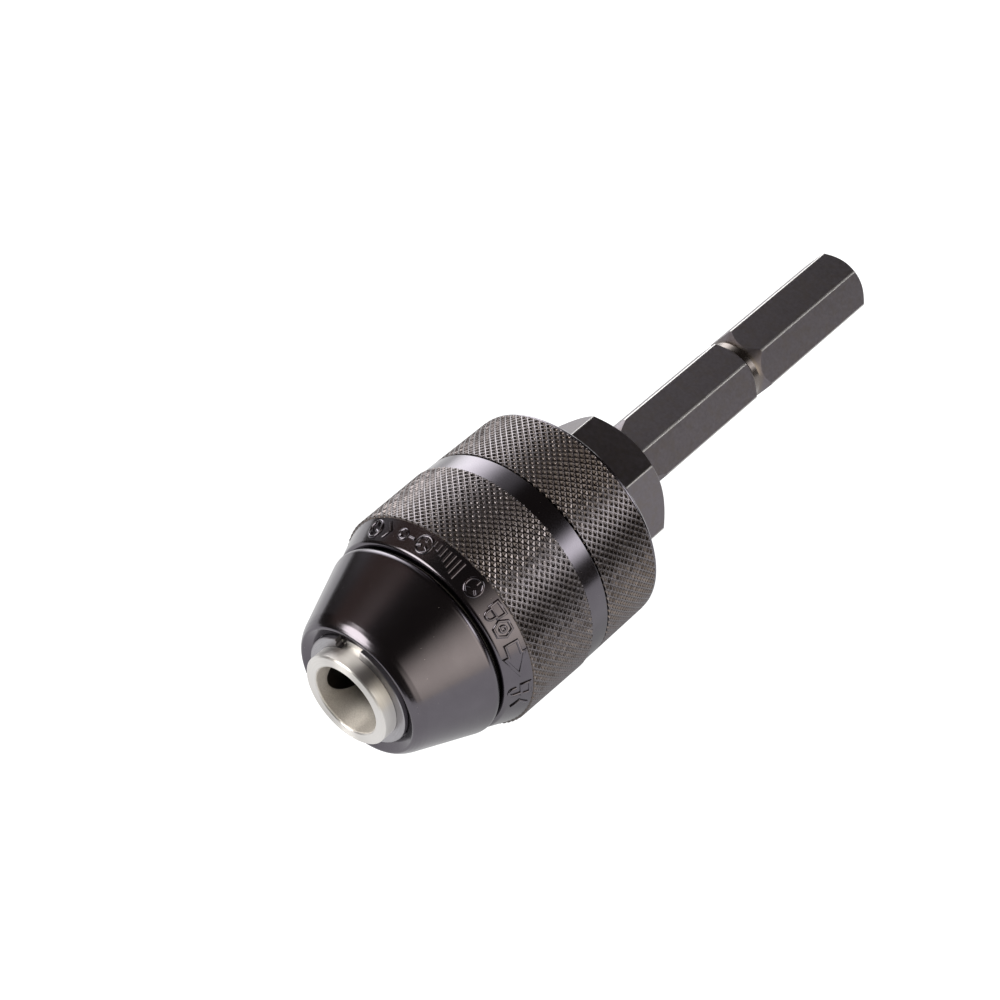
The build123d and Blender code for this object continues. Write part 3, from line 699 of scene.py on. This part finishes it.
def knurled_black():
    """The same steel on the knurls: ridges a little lighter in patches, pits darker and browner."""
    paint = Paint("knurled_black", (0.12, 0.11, 0.115), 0.25)
    ridge = paint.ramp(paint.radius, *RIDGE_TOPS)
    patches = paint.ramp(paint.noise(0.8, 3.0), 0.3, 0.8, 0.6, 1.0)
    # Ridges lighter in patches, pits darker and browner.
    lighter_ridges = paint.number("MULTIPLY", ridge, patches)
    paint.colour(paint.mixed(lighter_ridges, (0.105, 0.088, 0.080), (0.165, 0.152, 0.162)))
    paint.rough(paint.ramp(paint.noise(5.0, 3.0), 0.3, 0.7, 0.22, 0.32))
    paint.bump(paint.noise(9.0, 3.0), 0.006)
    return paint.material


def ground_steel():
    """Bright turned steel, with the long highlights of fine turning rings. Inside the bore it is
    duller, with a coarse reamed grain under a painted shade that darkens it inwards, and the
    jaw holes are painted dark as shade."""
    paint = Paint("ground_steel", (0.70, 0.68, 0.655), 0.42)
    inside = paint.ramp(paint.radius, *BORE_EDGE, 1.0, 0.0)
    lines = paint.turned_lines(9.0)
    grain = paint.noise(4.0, 4.0, rough=0.7)
    outer = paint.mixed(lines, (0.60, 0.58, 0.56), (0.80, 0.78, 0.76))
    reamed = paint.mixed(grain, (0.38, 0.35, 0.31), (0.88, 0.83, 0.78))
    # Painted shade: the bore's colour darkens to near black deeper in, where shade falls.
    depth = paint.ramp(paint.station, *BORE_PAINTED_SHADE)
    bore = paint.mixed(depth, reamed, (0.10, 0.085, 0.075))
    wall = paint.mixed(inside, outer, bore)
    # Painted shade: the walls of the jaw holes are coloured near black.
    jaw_hole_painted_shade = paint.number("MULTIPLY", paint.ramp(paint.radius, *JAW_HOLE_INSIDE),
                           paint.ramp(paint.radius, *JAW_HOLE_OUTSIDE, 1.0, 0.0))
    jaw_hole_painted_shade = paint.number("MULTIPLY", jaw_hole_painted_shade, paint.ramp(paint.station, *JAW_HOLE_FRONT))
    paint.colour(paint.mixed(jaw_hole_painted_shade, wall, (0.035, 0.028, 0.024)))
    streaks = paint.ramp(lines, 0.2, 0.8, 0.38, 0.46)
    paint.rough(paint.number("ADD", streaks, paint.number("MULTIPLY", inside, 0.1)))
    paint.put(paint.ramp(paint.radius, *BORE_EDGE, 0.35, 1.0), paint.shader.inputs["Metallic"])
    paint.shader.inputs["Anisotropic"].default_value = 0.9
    paint.shader.inputs["Anisotropic Rotation"].default_value = TURNED_GRAIN_ROTATION
    tangent = paint.nodes.new("ShaderNodeTangent")
    tangent.direction_type = "RADIAL"
    tangent.axis = "Y"
    paint.links.new(tangent.outputs[0], paint.shader.inputs["Tangent"])
    paint.bump(lines, 0.003)
    paint.bump(paint.number("MULTIPLY", inside, grain), 0.03)
    return paint.material


def black_oxide():
    """Milled steel with a mottled black oxide skin, brown in clouds and in the groove, and light
    along the corners, partly rubbed bright and partly a painted highlight."""
    paint = Paint("black_oxide", (0.13, 0.12, 0.13), 0.40)
    mottle = paint.noise(1.6, 4.0, rough=0.65)
    fine = paint.noise(9.0, 3.0)
    plain = paint.mixed(mottle, (0.105, 0.094, 0.096), (0.180, 0.164, 0.186))
    in_groove = paint.number("MULTIPLY", paint.ramp(paint.radius, *GROOVE_BROWN, 1.0, 0.0),
                             paint.ramp(paint.station, GROOVE[0] - 1, GROOVE[0]))
    cloud = paint.ramp(paint.noise(0.5, 4.0, rough=0.7), 0.45, 0.65, 0.0, 0.4)
    clouded = paint.mixed(cloud, plain, (0.135, 0.115, 0.100))
    browned = paint.mixed(in_groove, clouded, (0.16, 0.14, 0.13))
    shank_edge = paint.number("MULTIPLY", paint.ramp(paint.radius, *SHANK_CORNERS),
                              paint.ramp(paint.radius, *SHANK_ROOT, 1.0, 0.0))
    edge = paint.number("MAXIMUM", shank_edge, paint.ramp(paint.radius, *COLLAR_CORNERS))
    # Partly rubbed steel and partly a painted highlight: the corners of the shank and collar are
    # coloured light grey.
    rubbed_and_highlight = paint.number("MULTIPLY", edge, paint.ramp(fine, 0.3, 0.6, 0.4, 0.9))
    paint.colour(paint.mixed(rubbed_and_highlight, browned, (0.50, 0.49, 0.48)))
    matt = paint.ramp(mottle, 0.3, 0.7, 0.36, 0.44)
    paint.rough(paint.number("SUBTRACT", matt, paint.number("MULTIPLY", in_groove, 0.14)))
    paint.bump(mottle, 0.004)
    paint.bump(fine, 0.002)
    return paint.material


def satin_steel(name, dark, light, roughness, per_mm=8.0):
    """Plain machined steel or brass, with turning lines between two shades."""
    paint = Paint(name, light, roughness)
    lines = paint.turned_lines(per_mm)
    stain = paint.noise(0.5, 3.0)
    paint.colour(paint.mixed(paint.number("MULTIPLY", lines, stain), light, dark))
    paint.rough(paint.ramp(lines, 0.2, 0.8, roughness - 0.05, roughness + 0.08))
    paint.bump(lines, 0.002)
    return paint.material


def moulded(name, dark, light):
    """Matte moulded polymer with a fine grain."""
    paint = Paint(name, light, 0.5, metallic=0.0)
    grain = paint.noise(7.0, 3.0)
    paint.colour(paint.mixed(paint.noise(0.6, 2.0), dark, light))
    paint.rough(paint.ramp(grain, 0.3, 0.7, 0.42, 0.58))
    paint.bump(grain, 0.01)
    return paint.material


def felt():
    """Pressed felt: matted fibres, light and dark."""
    paint = Paint("seal_felt", (0.03, 0.028, 0.026), 0.95, metallic=0.0)
    fibres = paint.noise(11.0, 5.0, rough=0.75)
    paint.colour(paint.mixed(fibres, (0.012, 0.011, 0.010), (0.07, 0.065, 0.06)))
    paint.rough(paint.ramp(fibres, 0.3, 0.7, 0.85, 1.0))
    paint.bump(fibres, 0.06)
    paint.shader.inputs["Sheen Weight"].default_value = 0.3
    return paint.material


# Stage

def light_box(name, azimuth, elevation, spread, radiance, soft=1.0, colour=(1, 1, 1)):
    """A soft oval light that faces the part from a direction, as wide and high as a spread in
    degrees. It fades from its given brightness to nothing over the outer soft share of its
    radius. Azimuth 0 is in front of the nose and 90 is at +X."""
    lamp = bpy.data.lights.new(name, "AREA")
    lamp.shape = "RECTANGLE"
    half_angles = [math.radians(angle / 2) for angle in spread]
    lamp.size, lamp.size_y = (2 * LIGHT_DISTANCE * math.tan(half) for half in half_angles)
    lamp.energy = radiance * math.pi * lamp.size * lamp.size_y
    lamp.color = colour
    lamp.use_nodes = True
    tree = lamp.node_tree
    reach = tree.nodes.new("ShaderNodeVectorMath")
    reach.operation = "DISTANCE"
    reach.inputs[1].default_value = (0.5, 0.5, 0.0)
    tree.links.new(tree.nodes.new("ShaderNodeNewGeometry").outputs["Parametric"], reach.inputs[0])
    fade = tree.nodes.new("ShaderNodeMapRange")
    fade.interpolation_type = "SMOOTHSTEP"
    for value, socket in zip((0.5 * (1 - soft), 0.5, 1.0, 0.0), fade.inputs[1:5]):
        socket.default_value = value
    tree.links.new(reach.outputs["Value"], fade.inputs[0])
    tree.links.new(fade.outputs[0], tree.nodes["Emission"].inputs["Strength"])
    made = bpy.data.objects.new(name, lamp)
    bpy.context.scene.collection.objects.link(made)
    away = direction(azimuth, elevation)
    made.location = LIGHT_AIM + away * LIGHT_DISTANCE
    made.rotation_mode = "QUATERNION"
    made.rotation_quaternion = away.to_track_quat("Z", "Y")


def direction(azimuth, elevation):
    """The unit vector towards an azimuth and an elevation."""
    a, e = math.radians(azimuth), math.radians(elevation)
    return Vector((math.sin(a) * math.cos(e), -math.cos(a) * math.cos(e), math.sin(e)))


def lights():
    """Soft boxes: a bright one in front at the left, one behind at each side, a broad warm one at
    the right, and two faint ones higher up at the left."""
    light_box("key_front", -40, 36, (48, 42), 7.8, 0.35, (1.0, 0.975, 0.92))
    light_box("left_above", -138, 45, (40, 28), 0.45)
    light_box("left_behind", -123, 12, (66, 68), 5.8)
    light_box("right_behind", 130, 29, (50, 32), 4.8)
    light_box("warm_side", 86, 21, (68, 90), 2.55, 1.0, (1.0, 0.93, 0.80))
    light_box("warm_fill", -78, 36, (60, 70), 0.13, 0.6, (1.0, 0.62, 0.48))


def glowing(name, strength, diffuse):
    """A white stage material that gives most of its own light."""
    material = bpy.data.materials.new(name)
    material.use_nodes = True
    shader = material.node_tree.nodes["Principled BSDF"]
    shader.inputs["Base Color"].default_value = (diffuse, diffuse, diffuse, 1)
    shader.inputs["Roughness"].default_value = 1.0
    shader.inputs["Specular IOR Level"].default_value = 0.0
    shader.inputs["Emission Color"].default_value = (1, 1, 1, 1)
    shader.inputs["Emission Strength"].default_value = strength
    return material


def shaded_card():
    """The card's white, dimmed round the place where the part shades it."""
    paint = Paint("shaded_card", (0.0, 0.0, 0.0), 1.0, 0.0)
    away = paint.reach(paint.x, paint.number("SUBTRACT", paint.station, SHADE_STATION))
    glow = paint.ramp(away, *SHADE_RADII, SHADE_BRIGHTNESS, CARD_BRIGHTNESS)
    paint.put((1.0, 1.0, 1.0, 1.0), paint.shader.inputs["Emission Color"])
    paint.put(glow, paint.shader.inputs["Emission Strength"])
    return paint.material


def sheet(name, sides, height, material):
    """A flat rectangle at a height."""
    left, right, near, far = sides
    corners = [(left, near), (right, near), (right, far), (left, far)]
    made = piece(name, [(x, y, height) for x, y in corners], [(0, 1, 2, 3)])
    made.data.materials.append(material)
    return made


def stage():
    """A pale table and backdrop for the camera. The part's reflections see a white card of limited
    size under it instead, and a dark room."""
    lowest = CAD_BOX[0].z / MM
    floor = sheet("floor", FLOOR_SIDES, lowest - FLOOR_GAP, glowing("floor", 1.0, 0.3))
    card = sheet("white_card", CARD_SIDES, lowest - CARD_GAP, shaded_card())
    card.visible_camera = False
    arches = []
    for step in range(BACKDROP_STEPS + 1):
        lift = math.pi / 2 * step / BACKDROP_STEPS
        height = BACKDROP_RADIUS * math.sin(lift) - BACKDROP_DROP
        arches.append((circle(height, max(1.0, BACKDROP_RADIUS * math.cos(lift)), 48), 0))
    backdrop = skin("backdrop", arches, closed=False)
    backdrop.rotation_euler.x = math.pi / 2
    backdrop.data.materials.append(glowing("backdrop", 1.0, 0.0))
    for seen in (floor, backdrop):
        seen.visible_glossy = False
        seen.visible_diffuse = False
        seen.visible_transmission = False
        seen.visible_shadow = False
    world = bpy.data.worlds.new("room")
    bpy.context.scene.world = world
    world.use_nodes = True
    world.node_tree.nodes["Background"].inputs["Color"].default_value = (*ROOM_COLOUR, 1)


def camera():
    """The camera, looking down on the nose from the right, tipped a little."""
    data = bpy.data.cameras.new("camera")
    data.lens = CAMERA_LENS
    data.clip_start = 0.01
    made = bpy.data.objects.new("camera", data)
    bpy.context.scene.collection.objects.link(made)
    back = direction(CAMERA_AZIMUTH, CAMERA_ELEVATION)
    made.rotation_mode = "QUATERNION"
    roll = Matrix.Rotation(math.radians(CAMERA_ROLL), 3, "Z").to_quaternion()
    made.rotation_quaternion = back.to_track_quat("Z", "Y") @ roll
    made.location = AIM + back * CAMERA_DISTANCE
    bpy.context.scene.camera = made


def dress(node, material):
    """Gives a CAD node's object one material."""
    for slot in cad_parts[node].material_slots:
        slot.material = material


def knurl_faces(made, knurls, material):
    """Gives the faces between two stations, near the outside, a second material."""
    made.data.materials.append(material)
    start, end = (station * MM for station in knurls)
    slack = 1e-6
    inside = (SLEEVE_BORE + 1.0) * MM
    for face in made.data.polygons:
        x, y, z = face.center
        if start - slack < y < end + slack and math.hypot(x, z) > inside:
            face.material_index = 1


def build():
    """The pieces that replace CAD nodes, with their bodies, slots and materials."""
    black, knurled = gloss_black(), knurled_black()
    cap = nose_cap()
    cap.data.materials.append(black)
    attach(cap, "core")
    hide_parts("nose_cap")

    sleeve = front_sleeve()
    sleeve.data.materials.append(black)
    knurl_faces(sleeve, FRONT_KNURL, knurled)
    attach(sleeve, "sleeve")
    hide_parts("front_sleeve")

    marks = sleeve_marks()
    marks.data.materials.append(black)
    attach(marks, "sleeve")

    holder = rear_sleeve()
    holder.data.materials.append(black)
    knurl_faces(holder, REAR_KNURL, knurled)
    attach(holder, "core")
    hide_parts("rear_sleeve")

    adapter = shank_adapter()
    adapter.data.materials.append(black_oxide())
    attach(adapter, "core")
    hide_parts("shank_adapter")


def dress_cad():
    """Materials for the CAD nodes that stay."""
    bearing = satin_steel("bearing_steel", (0.50, 0.50, 0.51), (0.66, 0.66, 0.67), 0.12, 20.0)
    nut = satin_steel("nut_steel", (0.20, 0.19, 0.18), (0.38, 0.37, 0.36), 0.34)
    jaw = satin_steel("jaw_steel", (0.34, 0.33, 0.32), (0.52, 0.51, 0.50), 0.28)
    spring = satin_steel("spring_steel", (0.20, 0.195, 0.20), (0.36, 0.35, 0.37), 0.30)
    dress("chuck_body", ground_steel())
    for node in ("snap_ring", "wave_washer"):
        dress(node, spring)
    for node in ("thrust_race_front", "thrust_race_rear", "thrust_balls"):
        dress(node, bearing)
    for node in ("nut_half_a", "nut_half_b", "nut_ring"):
        dress(node, nut)
    for index in range(3):
        dress(f"jaw_{index + 1}", jaw)
    dress("ball_cage", satin_steel("cage_brass", (0.42, 0.28, 0.10), (0.66, 0.48, 0.20), 0.30))
    dress("retaining_screw",
          satin_steel("screw_steel", (0.10, 0.10, 0.105), (0.24, 0.235, 0.235), 0.36))
    dress("guide_ring", moulded("bush_polymer", (0.55, 0.53, 0.47), (0.66, 0.64, 0.58)))
    dress("dust_seal", felt())


camera()
stage()
lights()
build()
dress_cad()
bpy.context.scene.view_settings.view_transform = "Standard"
